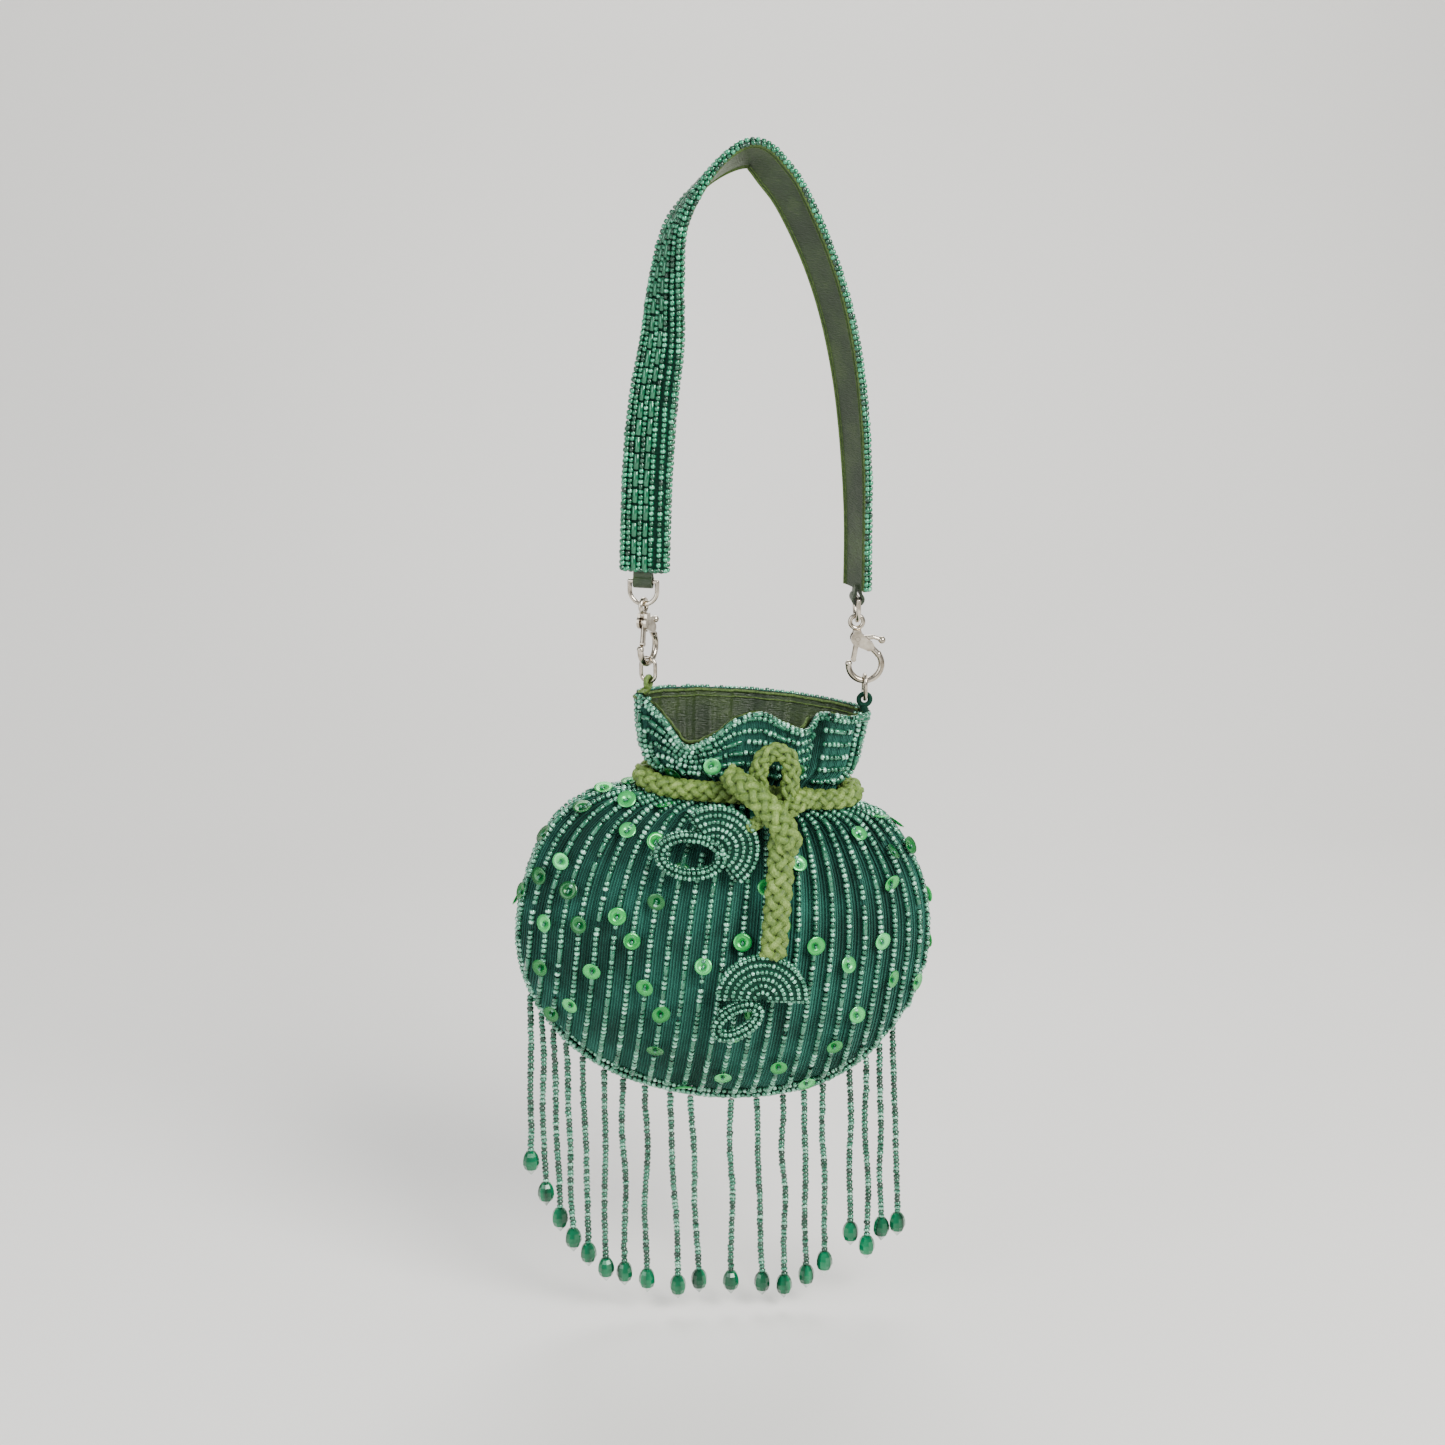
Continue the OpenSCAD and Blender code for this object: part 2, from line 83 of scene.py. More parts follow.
def lengths(path):
    """The length along a polyline from its start to each of its points."""
    return np.concatenate([[0], np.cumsum(np.linalg.norm(np.diff(path, axis=0), axis=1))])


def directions(path, closed=False):
    """The direction of a path at each of its points."""
    if closed:
        return unit(np.roll(path, -1, 0) - np.roll(path, 1, 0))
    return unit(np.gradient(path, axis=0))


def between(x, known_x, rows):
    """Rows given at known_x, read at x in straight lines."""
    return np.stack([np.interp(x, known_x, column) for column in np.asarray(rows, float).T], 1)


def walk(path, spacing):
    """Points, directions and shares of the length at equal steps along a polyline."""
    s = lengths(path)
    count = max(1, int(round(s[-1] / spacing)))
    at = (np.arange(count) + 0.5) * s[-1] / count
    ahead, behind = (between(at + d, s, path) for d in (spacing / 2, -spacing / 2))
    return between(at, s, path), unit(ahead - behind), at / s[-1]


def along_share(values, share):
    """Values given at equal steps along a path, at shares of its length."""
    return between(share, np.linspace(0, 1, len(values)), values)


def cos_sin(degrees):
    return math.cos(math.radians(degrees)), math.sin(math.radians(degrees))


def turned_solid(radii, places, sides):
    """A turned solid about X with flat ends, as points and sets of faces."""
    angle = 2 * np.pi * np.arange(sides) / sides
    points = np.concatenate([
        np.stack([np.full(sides, x), r * np.cos(angle), r * np.sin(angle)], 1)
        for r, x in zip(radii, places)])
    return points, skin_faces(len(radii), sides, False)


def skin_faces(rings, sides, closed):
    """Faces over a stack of rings; an open stack gets a flat cap at each end."""
    i = np.arange(rings if closed else rings - 1)[:, None]
    k = np.arange(sides)[None]
    a, b = i * sides, ((i + 1) % rings) * sides
    quads = np.stack([a + k, b + k, b + (k + 1) % sides, a + (k + 1) % sides], -1).reshape(-1, 4)
    if closed:
        return [quads]
    last = (rings - 1) * sides
    return [quads[:, ::-1], np.arange(sides)[None], (last + np.arange(sides)[::-1])[None]]


def scatter(solid, centres, along, out, length, radius):
    """Copies of a solid, its X along a direction and its Z outward."""
    points, face_sets = solid
    side = unit(np.cross(out, along))
    out = np.cross(along, side)
    length, radius = (np.broadcast_to(v, len(centres))[:, None, None] for v in (length, radius))
    placed = (centres[:, None] + along[:, None] * points[None, :, 0:1] * length
              + side[:, None] * points[None, :, 1:2] * radius
              + out[:, None] * points[None, :, 2:3] * radius)
    first = (np.arange(len(centres)) * len(points))[:, None, None]
    faces = [(f[None] + first).reshape(-1, f.shape[1]) for f in face_sets]
    return placed.reshape(-1, 3), faces


def tube(path, radius, sides, up, closed=False):
    """A round tube along a path; up is a direction, or one for each point."""
    path = np.asarray(path, float)
    t = directions(path, closed)
    a = unit(np.cross(t, np.broadcast_to(up, path.shape)))
    b = np.cross(t, a)
    angle = 2 * np.pi * np.arange(sides) / sides
    radius = np.broadcast_to(radius, len(path))[:, None, None]
    ring = a[:, None] * np.cos(angle)[None, :, None] + b[:, None] * np.sin(angle)[None, :, None]
    points = (path[:, None] + ring * radius).reshape(-1, 3)
    faces = skin_faces(len(path), sides, closed)
    return points, faces if closed else [f[:, ::-1] for f in faces]


def grid_faces(rows, columns):
    """Faces over rows of points, as one set."""
    i, k = np.meshgrid(np.arange(rows - 1), np.arange(columns - 1), indexing="ij")
    a = i * columns + k
    return [np.stack([a, a + columns, a + columns + 1, a + 1], -1).reshape(-1, 4)]


def flipped(chunk):
    """The same chunk with its faces turned over."""
    points, faces, *rest = chunk
    return (points, [f[:, ::-1] for f in faces], *rest)


def piece(name, chunks, materials, body, replaced=(), smooth=True):
    """One object from chunks of points, sets of faces, a tint and a material number; the last
    two are 0 where a chunk leaves them out."""
    points, tints, corners, totals, numbers, first = [], [], [], [], [], 0
    for chunk in chunks:
        own, face_sets, tint, number = (*chunk, 0, 0)[:4]
        for faces in face_sets:
            corners.append((faces + first).ravel())
            totals.append(np.full(len(faces), faces.shape[1]))
            numbers.append(np.full(len(faces), number))
        points.append(own)
        tints.append(np.broadcast_to(np.asarray(tint, float), len(own)))
        first += len(own)
    corners, totals = np.concatenate(corners), np.concatenate(totals)
    mesh = bpy.data.meshes.new(name)
    mesh.vertices.add(first)
    mesh.vertices.foreach_set("co", (np.concatenate(points) * MM).astype(np.float32).ravel())
    mesh.loops.add(len(corners))
    mesh.loops.foreach_set("vertex_index", corners.astype(np.int32))
    mesh.polygons.add(len(totals))
    mesh.polygons.foreach_set("loop_start", (np.cumsum(totals) - totals).astype(np.int32))
    mesh.polygons.foreach_set("material_index", np.concatenate(numbers).astype(np.int32))
    mesh.polygons.foreach_set("use_smooth", np.full(len(totals), smooth))
    mesh.update(calc_edges=True)
    mesh.validate()
    tint = mesh.attributes.new("tint", "FLOAT", "POINT")
    tint.data.foreach_set("value", np.concatenate(tints).astype(np.float32))
    for material in materials:
        mesh.materials.append(material)
    obj = bpy.data.objects.new(name, mesh)
    bpy.context.scene.collection.objects.link(obj)
    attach(obj, body)
    if replaced:
        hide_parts(*replaced)
    return obj


# ---- beads and sequins ----

# Solids of length 1 and radius 1
BEAD = turned_solid([0.55, 0.95, 1, 0.95, 0.55], [-0.5, -0.32, 0, 0.32, 0.5], 8)
BUGLE = turned_solid([0.8, 1, 1, 0.8], [-0.5, -0.46, 0.46, 0.5], 8)
BEAD_STEP, BEAD_LENGTH = 1.75, 1.5
RADIUS_SPREAD, LENGTH_SPREAD = (0.9, 1.08), (0.9, 1.06)
LONG_SHARE, GAP_SHARE = 0.08, 0.02
# The order of materials in a beaded piece
GLASS, FOIL, FELT = 0, 1, 2


def tints_with_painted_end_shade(solid, tint):
    """One tint per point of every copy; the ends of a bead are painted darker than its middle, as
    shade where the beads meet.
    """
    ends = 1 - 0.8 * np.abs(2 * solid[0][:, 0]) ** 3
    return (np.asarray(tint)[:, None] * ends).ravel()


def beads(path, out, spacing=BEAD_STEP, radius=1.0, length=BEAD_LENGTH, solid=BEAD, loose=0.12,
          tints=(0, 1)):
    """A row of beads along a path; out is a direction, or one for each point of the path."""
    centres, along, share = walk(path, spacing)
    out = along_share(np.broadcast_to(out, np.shape(path)), share)
    n = len(centres)
    centres = centres + rng.normal(0, loose * radius * 0.6, (n, 3))
    along = unit(along + rng.normal(0, loose, (n, 3)))
    radius = radius * rng.uniform(*RADIUS_SPREAD, n)
    tint = rng.uniform(*tints, n)
    length = length * rng.uniform(*LENGTH_SPREAD, n)
    return *scatter(solid, centres, along, out, length, radius), tints_with_painted_end_shade(solid, tint), GLASS


def mixed_row(path, out, radius, tints):
    """Seed beads with a gap or a long bead here and there, as sewn by hand."""
    centres, along, share = walk(path, BEAD_STEP)
    out = along_share(np.broadcast_to(out, np.shape(path)), share)
    n = len(centres)
    kind = rng.uniform(0, 1, n)
    # A long bead takes the next bead's place as well
    long_at = (kind < LONG_SHARE) & (np.arange(n) < n - 1)
    seeds = ~(long_at | np.roll(long_at, 1) | (kind > 1 - GAP_SHARE))
    jitter = rng.normal(0, 0.07, (n, 3))
    tint = rng.uniform(*tints, n)
    turned = unit(along + rng.normal(0, 0.1, (n, 3)))
    length = BEAD_LENGTH * rng.uniform(*LENGTH_SPREAD, n)
    size = radius * rng.uniform(*RADIUS_SPREAD, n)
    seed = scatter(BEAD, (centres + jitter)[seeds], turned[seeds], out[seeds], length[seeds],
                   size[seeds])
    # Seed beads and long beads both get painted shade at their ends
    chunks = [(*seed, tints_with_painted_end_shade(BEAD, tint[seeds]), GLASS)]
    if long_at.any():
        middle = (centres + along * 0.87)[long_at]
        long = scatter(BUGLE, middle, along[long_at], out[long_at], 3.3, radius * 0.92)
        chunks.append((*long, tints_with_painted_end_shade(BUGLE, 0.5 + 0.5 * tint[long_at]), GLASS))
    return chunks


def cup_sequin(sides=18):
    """A cup sequin of 1 mm radius with a hole, its axis along Z."""
    section = [(0.17, 0), (0.62, 0.02), (1, 0.2), (1, 0.25), (0.62, 0.08), (0.17, 0.06)]
    angle = 2 * np.pi * np.arange(sides) / sides
    rings = [[[r * np.cos(a), r * np.sin(a), z] for r, z in section] for a in angle]
    return np.concatenate(rings), skin_faces(sides, len(section), True)


SEQUIN = cup_sequin()
SEQUIN_R = 3.05
SEQUIN_GAP = 9.5


def sequins(centres, along, out):
    """Cup sequins, each held by a small bead over its hole."""
    n = len(centres)
    tilted = unit(out + rng.normal(0, 0.22, (n, 3)))
    along = unit(along - tilted * (along * tilted).sum(1, keepdims=True))
    size = SEQUIN_R * rng.uniform(0.92, 1.05, n)
    cups = scatter(SEQUIN, centres, along, tilted, size, size)
    # Each sequin's tint is random from dark to bright: painted light and shade, as if some sequins
    # faced the lamps and some were turned away
    tint = np.repeat(rng.uniform(0.12, 1, n), len(SEQUIN[0]))
    caps = scatter(BEAD, centres + tilted * 0.5 + along * 0.5, along, tilted, 1.1, 0.55)
    return [(*cups, tint, FOIL), (*caps, 0.3, GLASS)]


# ---- materials ----


def shader(name, **values):
    material = bpy.data.materials.new(name)
    material.use_nodes = True
    tree = material.node_tree
    principled = tree.nodes["Principled BSDF"]
    for key, value in values.items():
        principled.inputs[key.replace("_", " ")].default_value = value
    return material, tree, principled


def ramp(tree, factor, stops):
    node = tree.nodes.new("ShaderNodeValToRGB")
    while len(node.color_ramp.elements) < len(stops):
        node.color_ramp.elements.new(0.5)
    for element, (place, colour) in zip(node.color_ramp.elements, stops):
        element.position = place
        element.color = (*colour, 1)
    tree.links.new(factor, node.inputs["Fac"])
    return node.outputs["Color"]


def colour_by(tree, principled, factor, stops):
    """The base colour runs through the stops as the factor rises."""
    tree.links.new(ramp(tree, factor, stops), principled.inputs["Base Color"])


def tint_of(tree):
    node = tree.nodes.new("ShaderNodeAttribute")
    node.attribute_name = "tint"
    return node.outputs["Fac"]


def noise(tree, scale, detail=3.0, stretch=None):
    node = tree.nodes.new("ShaderNodeTexNoise")
    node.inputs["Scale"].default_value = scale
    node.inputs["Detail"].default_value = detail
    place = tree.nodes.new("ShaderNodeTexCoord")
    if stretch:
        mapping = tree.nodes.new("ShaderNodeMapping")
        mapping.inputs["Scale"].default_value = stretch
        tree.links.new(place.outputs["Object"], mapping.inputs["Vector"])
        tree.links.new(mapping.outputs["Vector"], node.inputs["Vector"])
    else:
        tree.links.new(place.outputs["Object"], node.inputs["Vector"])
    return node.outputs["Fac"]


def maths(tree, operation, a, b=None):
    node = tree.nodes.new("ShaderNodeMath")
    node.operation = operation
    for socket, value in zip(node.inputs, (a, b)):
        if isinstance(value, (int, float)):
            socket.default_value = value
        elif value is not None:
            tree.links.new(value, socket)
    return node.outputs[0]


def bump(tree, principled, height, strength, distance):
    node = tree.nodes.new("ShaderNodeBump")
    node.inputs["Strength"].default_value = strength
    node.inputs["Distance"].default_value = distance
    tree.links.new(height, node.inputs["Height"])
    tree.links.new(node.outputs["Normal"], principled.inputs["Normal"])


def glass_beads(name, stops):
    material, tree, principled = shader(name, Metallic=0.4, Roughness=0.2, Coat_Weight=0.6,
                                        Coat_Roughness=0.06)
    mixed = maths(tree, "ADD", tint_of(tree), maths(tree, "MULTIPLY", noise(tree, 900), 0.25))
    colour_by(tree, principled, maths(tree, "SUBTRACT", mixed, 0.12), stops)
    return material


mint_beads = glass_beads("mint_beads", [
    (0.0, (0.002, 0.035, 0.018)), (0.3, (0.02, 0.16, 0.085)), (0.7, (0.13, 0.42, 0.27)),
    (1.0, (0.5, 0.8, 0.66))])
green_beads = glass_beads("green_beads", [
    (0.0, (0.001, 0.03, 0.014)), (0.4, (0.006, 0.15, 0.065)), (0.8, (0.03, 0.33, 0.17)),
    (1.0, (0.28, 0.66, 0.46))])
fringe_beads = glass_beads("fringe_beads", [
    (0.0, (0.001, 0.03, 0.014)), (0.3, (0.005, 0.085, 0.04)), (0.7, (0.035, 0.22, 0.13)),
    (1.0, (0.35, 0.68, 0.5))])


def sequin_foil():
    material, tree, principled = shader("sequin_foil", Metallic=0.4, Roughness=0.26,
                                        Coat_Weight=0.35, Coat_Roughness=0.05,
                                        Transmission_Weight=0.08)
    # Dark to bright green by the tint: painted light and shade of sequins facing the lamps or turned
    # away from them
    colour_by(tree, principled, tint_of(tree), [
        (0.0, (0.001, 0.05, 0.012)), (0.3, (0.003, 0.17, 0.03)), (0.6, (0.015, 0.4, 0.07)),
        (1.0, (0.09, 0.68, 0.2))])
    return material


def velvet_cloth():
    """Fine ribs run along the rows of beads; the tint attribute counts those rows."""
    material, tree, principled = shader("velvet_cloth", Roughness=0.8, Sheen_Weight=0.3,
                                        Sheen_Roughness=0.35, Sheen_Tint=(0.12, 0.5, 0.36, 1),
                                        Specular_IOR_Level=0.25)
    ribs_per_row = 6
    ribs = maths(tree, "SINE", maths(tree, "MULTIPLY", tint_of(tree), 2 * math.pi * ribs_per_row))
    patches = noise(tree, 45, 4)
    weave = noise(tree, 2200, 2)
    # The ribs darken the colour in their grooves as well as shaping the bump: painted shade
    mixed = maths(tree, "ADD", patches, maths(tree, "MULTIPLY", ribs, 0.11))
    mixed = maths(tree, "ADD", mixed, maths(tree, "MULTIPLY", weave, 0.15))
    colour_by(tree, principled, mixed, [
        (0.32, (0.001, 0.018, 0.012)), (0.55, (0.005, 0.055, 0.038)), (0.8, (0.024, 0.16, 0.115))])
    height = maths(tree, "ADD", maths(tree, "MULTIPLY", ribs, 0.5), weave)
    bump(tree, principled, height, 0.9, 0.0009)
    return material


def felt(name, dark, light):
    material, tree, principled = shader(name, Roughness=0.9, Sheen_Weight=0.3,
                                        Sheen_Tint=(*light, 1), Specular_IOR_Level=0.2)
    fuzz = noise(tree, 1500, 4)
    colour_by(tree, principled, fuzz, [(0.3, dark), (0.75, light)])
    bump(tree, principled, fuzz, 0.6, 0.0003)
    return material


def satin_cloth():
    material, tree, principled = shader("satin_cloth", Roughness=0.42, Sheen_Weight=0.1,
                                        Sheen_Tint=(0.5, 0.7, 0.3, 1), Anisotropic=0.5)
    patches = noise(tree, 60, 5)
    threads = noise(tree, 500, 3, (1, 1, 7))
    mixed = maths(tree, "ADD", maths(tree, "MULTIPLY", patches, 0.7),
                  maths(tree, "MULTIPLY", threads, 0.3))
    colour_by(tree, principled, mixed, [
        (0.3, (0.003, 0.01, 0.002)), (0.5, (0.01, 0.024, 0.005)), (0.75, (0.045, 0.08, 0.016))])
    bump(tree, principled, mixed, 0.9, 0.0012)
    return material


def braid_yarn():
    material, tree, principled = shader("braid_yarn", Roughness=0.55, Sheen_Weight=0.15,
                                        Sheen_Tint=(0.5, 0.7, 0.2, 1))
    threads = noise(tree, 1400, 4)
    # The tint carries the painted shade of yarns passing under each other
    mixed = maths(tree, "ADD", maths(tree, "MULTIPLY", tint_of(tree), 0.5),
                  maths(tree, "MULTIPLY", threads, 0.6))
    colour_by(tree, principled, mixed, [
        (0.25, (0.006, 0.015, 0.002)), (0.5, (0.045, 0.095, 0.012)), (0.75, (0.13, 0.22, 0.035)),
        (1.0, (0.3, 0.42, 0.11))])
    bump(tree, principled, threads, 0.8, 0.0005)
    return material


def pale_metal():
    material, tree, principled = shader("pale_metal", Metallic=1.0, Coat_Weight=0.3,
                                        Coat_Roughness=0.05)
    # Dark and light noise patches in the colour are painted reflections on the metal; the roughness
    # follows the same patches
    painted_reflection_patches = noise(tree, 350, 4)
    colour_by(tree, principled, painted_reflection_patches, [(0.3, (0.28, 0.24, 0.18)), (0.7, (0.66, 0.6, 0.5))])
    rough = ramp(tree, painted_reflection_patches, [(0.3, (0.24, 0.24, 0.24)), (0.7, (0.14, 0.14, 0.14))])
    tree.links.new(rough, principled.inputs["Roughness"])
    bump(tree, principled, noise(tree, 900, 3), 0.15, 0.0001)
    return material


def crystal(name, dark, light, metallic):
    material, tree, principled = shader(name, Roughness=0.1, Coat_Weight=0.4, Coat_Roughness=0.03,
                                        Metallic=metallic, Specular_IOR_Level=0.4)
    # The tint attribute brings the facets' painted light and shade into the colour
    mixed = maths(tree, "ADD", maths(tree, "MULTIPLY", tint_of(tree), 0.6),
                  maths(tree, "MULTIPLY", noise(tree, 260, 2), 0.4))
    colour_by(tree, principled, mixed, [(0.2, dark), (0.8, light)])
    return material


velvet = velvet_cloth()
sequin = sequin_foil()
dark_felt = felt("dark_felt", (0.001, 0.015, 0.008), (0.004, 0.045, 0.026))
satin = satin_cloth()
edge_thread = felt("edge_thread", (0.03, 0.06, 0.015), (0.11, 0.17, 0.05))
yarn = braid_yarn()
metal = pale_metal()
emerald = crystal("emerald_glass", (0.0, 0.02, 0.008), (0.001, 0.19, 0.075), 0.25)
clear_tip = crystal("silvered_tip", (0.16, 0.22, 0.19), (0.75, 0.82, 0.78), 0.8)

# ---- the pouch's own surface, as in the CAD model ----

NECK = np.array([-0.25, 0, -204.6])
ROLL = math.radians(6)
MOUTH_H = 28
# Height over the neck, half width to the left and to the right, and half depth
PROFILE = np.array([
    [MOUTH_H, 41, 38.5, 17], [20, 40.5, 37.5, 16], [8, 37.5, 36, 13.5], [2.5, 31.6, 31.6, 11.6],
    [-2.5, 31.4, 31.4, 11.6], [-5, 41, 38, 14.5], [-8, 53, 47.5, 18.5], [-16, 63, 55.5, 23],
    [-27, 69, 62.5, 25.5], [-41, 72.6, 67, 27], [-57, 73.6, 68, 27.4], [-72, 70.6, 65.5, 26],
    [-86, 63.2, 58.5, 22], [-97.5, 51.5, 49, 16], [-106, 36, 35.5, 10], [-111, 18, 19, 4.5],
    [-112.8, 4, 5, 0]])
LAST = len(PROFILE) - 1
BELLY_U = 10
# How far the front lip sinks, at equal steps from the left corner to the right one
FRONT_SAG = [0, 5, 13, 9, 1.5, -1, 2, 4, -1, 0, 0]
SECTION = 0.6
EDGE_INSET = 1.2
ROWS = 26
ARC_STEPS = 400
# Where the front lip folds inward beside the cuff at the right corner
TUCK_DEPTH, TUCK_T, TUCK_WIDTH = 7, 0.52, 0.07
# The folds' depth far from the neck, what is added by the neck, and over what height it fades
LIP_FOLD, BODY_FOLD = (0.35, 1.3, 7), (0.7, 2.5, 16)
CREASE_DEPTH, CREASE_WIDTH, CREASE_W, CREASE_HALF = 2.6, 0.05, -34, 26


def rolled(x, y, w):
    c, s = math.cos(ROLL), math.sin(ROLL)
    return NECK + np.stack([x * c + w * s, y, w * c - x * s], -1)


def sag(t, w):
    shape = spline(FRONT_SAG, (t + 1) / 2 * (len(FRONT_SAG) - 1))
    return np.where(w > 0, shape * (np.maximum(w, 0) / MOUTH_H) ** 1.5, 0)


def half_width(t, row):
    """The outline's half width on the side that t is on, from rows of the profile."""
    return np.where(t < 0, row[..., 1], row[..., 2])


def u_at(w):
    """Where the profile has the height w over the neck."""
    return np.interp(-w, -PROFILE[:, 0], np.arange(LAST + 1))


def smooth_cloth(t, u, side, under=0.0):
    """Points of the unfolded cloth: t across, u down the profile, side -1 front or 1 back."""
    row = spline(PROFILE, u)
    w = row[..., 0]
    half = np.maximum(0.3, half_width(t, row) - EDGE_INSET - under)
    deep = np.maximum(0, row[..., 3] - under)
    tuck = TUCK_DEPTH * np.exp(-(((t - TUCK_T) / TUCK_WIDTH) ** 2))
    tuck = tuck * np.clip(w / MOUTH_H, 0, 1) ** 1.3
    y = side * deep * np.maximum(0, 1 - t * t) ** SECTION + (tuck if side < 0 else 0)
    # The cloth lifts off the bottom seam, from 66 below the neck on
    lift = (EDGE_INSET + under + 0.6) * np.clip((-w - 66) / 40, 0, 1)
    return rolled(t * half, y, w + lift - (sag(t, w) if side < 0 else 0))


# Share of the arc across the belly, which spaces the rows of beads evenly over the cloth
ARC_T = np.sin(np.linspace(-math.pi / 2, math.pi / 2, ARC_STEPS))
ARC_S = lengths(smooth_cloth(ARC_T, np.full(ARC_STEPS, float(BELLY_U)), -1))
ARC_S = ARC_S / ARC_S[-1] * ROWS


def row_of(t, u):
    """The count of bead rows from the left seam. Below the belly the rows run straight down."""
    half, widest = half_width(t, spline(PROFILE, u)), half_width(t, PROFILE[BELLY_U])
    across = np.where(u > BELLY_U, t * half / widest, t)
    return np.interp(across, ARC_T, ARC_S)


def t_of_row(rows):
    return np.interp(rows, ARC_S, ARC_T)


# Every valley between two rows is deeper or shallower than the others
VALLEY_DEPTH = rng.uniform(0.45, 1.5, 2 * (ROWS + 1)).reshape(2, ROWS + 1)


def fold_depth(w, far, added, over):
    return far + added * np.exp(-np.abs(w) / over)


def gathers(t, u, side):
    """How deep the cloth folds in between two rows of beads."""
    w = spline(PROFILE, u)[..., 0]
    rows = row_of(t, u)
    deep = np.where(w > 0, fold_depth(w, *LIP_FOLD), fold_depth(w, *BODY_FOLD))
    own = VALLEY_DEPTH[(side + 1) // 2][np.clip(np.round(rows).astype(int), 0, ROWS)]
    fade = np.clip((1 - np.abs(t)) / 0.06, 0, 1)
    # A crease runs down the front from under the knot, a little to the left as it falls
    across = (t + 0.03 - (w + 60) / 900) / CREASE_WIDTH
    crease = CREASE_DEPTH * np.exp(-(across**2) - ((w - CREASE_W) / CREASE_HALF) ** 4)
    return (deep * own * (0.5 + 0.5 * np.cos(2 * np.pi * rows)) ** 1.3
            + (crease if side < 0 else 0)) * fade


def normals(t, u, side, under=0.0):
    """The unfolded cloth's outward directions."""
    d = 0.01
    t0, t1 = np.clip(t - d, -1, 1), np.clip(t + d, -1, 1)
    u0, u1 = np.clip(u - 4 * d, 0, LAST), np.clip(u + 4 * d, 0, LAST)
    across = smooth_cloth(t1, u, side, under) - smooth_cloth(t0, u, side, under)
    down = smooth_cloth(t, u1, side, under) - smooth_cloth(t, u0, side, under)
    return unit(np.cross(down, across)) * side * -1


def cloth(t, u, side, off=0.0, under=0.0, folded=True):
    """Points at a distance off the folded cloth, or off a smooth one under it."""
    fold = gathers(t, u, side) if folded else np.zeros(np.shape(t))
    return smooth_cloth(t, u, side, under) + normals(t, u, side, under) * (off - fold)[..., None]


def spread_u(step):
    """Values of u about one step apart down the middle of the pouch."""
    fine = np.linspace(0, LAST, 800)
    s = lengths(smooth_cloth(np.zeros(len(fine)), fine, 1))
    return np.interp(np.linspace(0, s[-1], int(s[-1] / step)), s, fine)


def velvet_panel(side):
    """The outer face of a panel, turned over the rim into a narrow hem."""
    across = t_of_row(np.linspace(0, ROWS, ROWS * 8 + 1))
    down = spread_u(1.5)
    t, u = np.meshgrid(across, down)
    face = cloth(t, u, side)
    hem_t = np.repeat(across[None], 2, 0)
    hem_u = np.repeat(np.array([[0.45], [0.0]]), len(across), 1)
    hem = cloth(hem_t, hem_u, side, 0.0, 0.9, False)
    points = np.concatenate([hem, face])
    rows = np.concatenate([row_of(hem_t, hem_u), row_of(t, u)])
    faces = grid_faces(len(points), len(across))
    chunk = (points.reshape(-1, 3), faces, rows.ravel())
    return chunk if side < 0 else flipped(chunk)


def level_row(w, first, last, n):
    """A row at one height over the neck, as n places of (t, w)."""
    return np.stack([np.linspace(first, last, n), np.full(n, float(w))], 1)


# A ridge with fewer points than this leaves the cloth at once and gets no beads
MIN_RIDGE = 8
BRIGHT = (0.15, 1)
# Across and over the neck, as t and w
LIP_SEQUINS = [[-0.74, 6.5], [-0.38, 12], [0.36, 12]]


def lip_rows(side):
    """Rows on the cloth above the cord, each a list of (t across, height over the neck)."""
    rows = [level_row(w, -0.985, 0.985, 200) for w in (27.5, 25.7)]
    heights = (21.9, 18.3, 14.7, 11.1, 7.5)
    if side > 0:
        return rows + [level_row(w, -0.985, 0.985, 200) for w in heights]
    # On the front the rows turn down beside the left seam and end at the fold by the cuff
    for k, w in enumerate(heights):
        edge = -0.975 + 0.035 * k
        turn = [[edge, 3], [edge, w - 3], [edge + 0.012, w - 1], [edge + 0.05, w]]
        rows.append(np.concatenate([sampled(turn, 40), level_row(w, edge + 0.07, 0.5, 120)]))
    rows += [level_row(w, 0.6, 0.86, 30) for w in (22.2, 18.0, 13.8, 9.6, 5.4)]
    rows += [np.stack([np.full(40, t), np.linspace(2.6, 25, 40)], 1) for t in (0.9, 0.965)]
    return rows


def ridge(k):
    """Where a ridge's row of beads runs, as t and u. Below the belly it runs straight down."""
    t = float(t_of_row(k + 0.5))
    u = np.linspace(4.3, LAST - 0.7, 240)
    half, widest = half_width(t, spline(PROFILE, u)), half_width(t, PROFILE[BELLY_U])
    across = np.where(u > BELLY_U, t * widest / np.maximum(half, 1), t)
    on_cloth = np.abs(across) < 0.992
    return across[on_cloth], u[on_cloth]


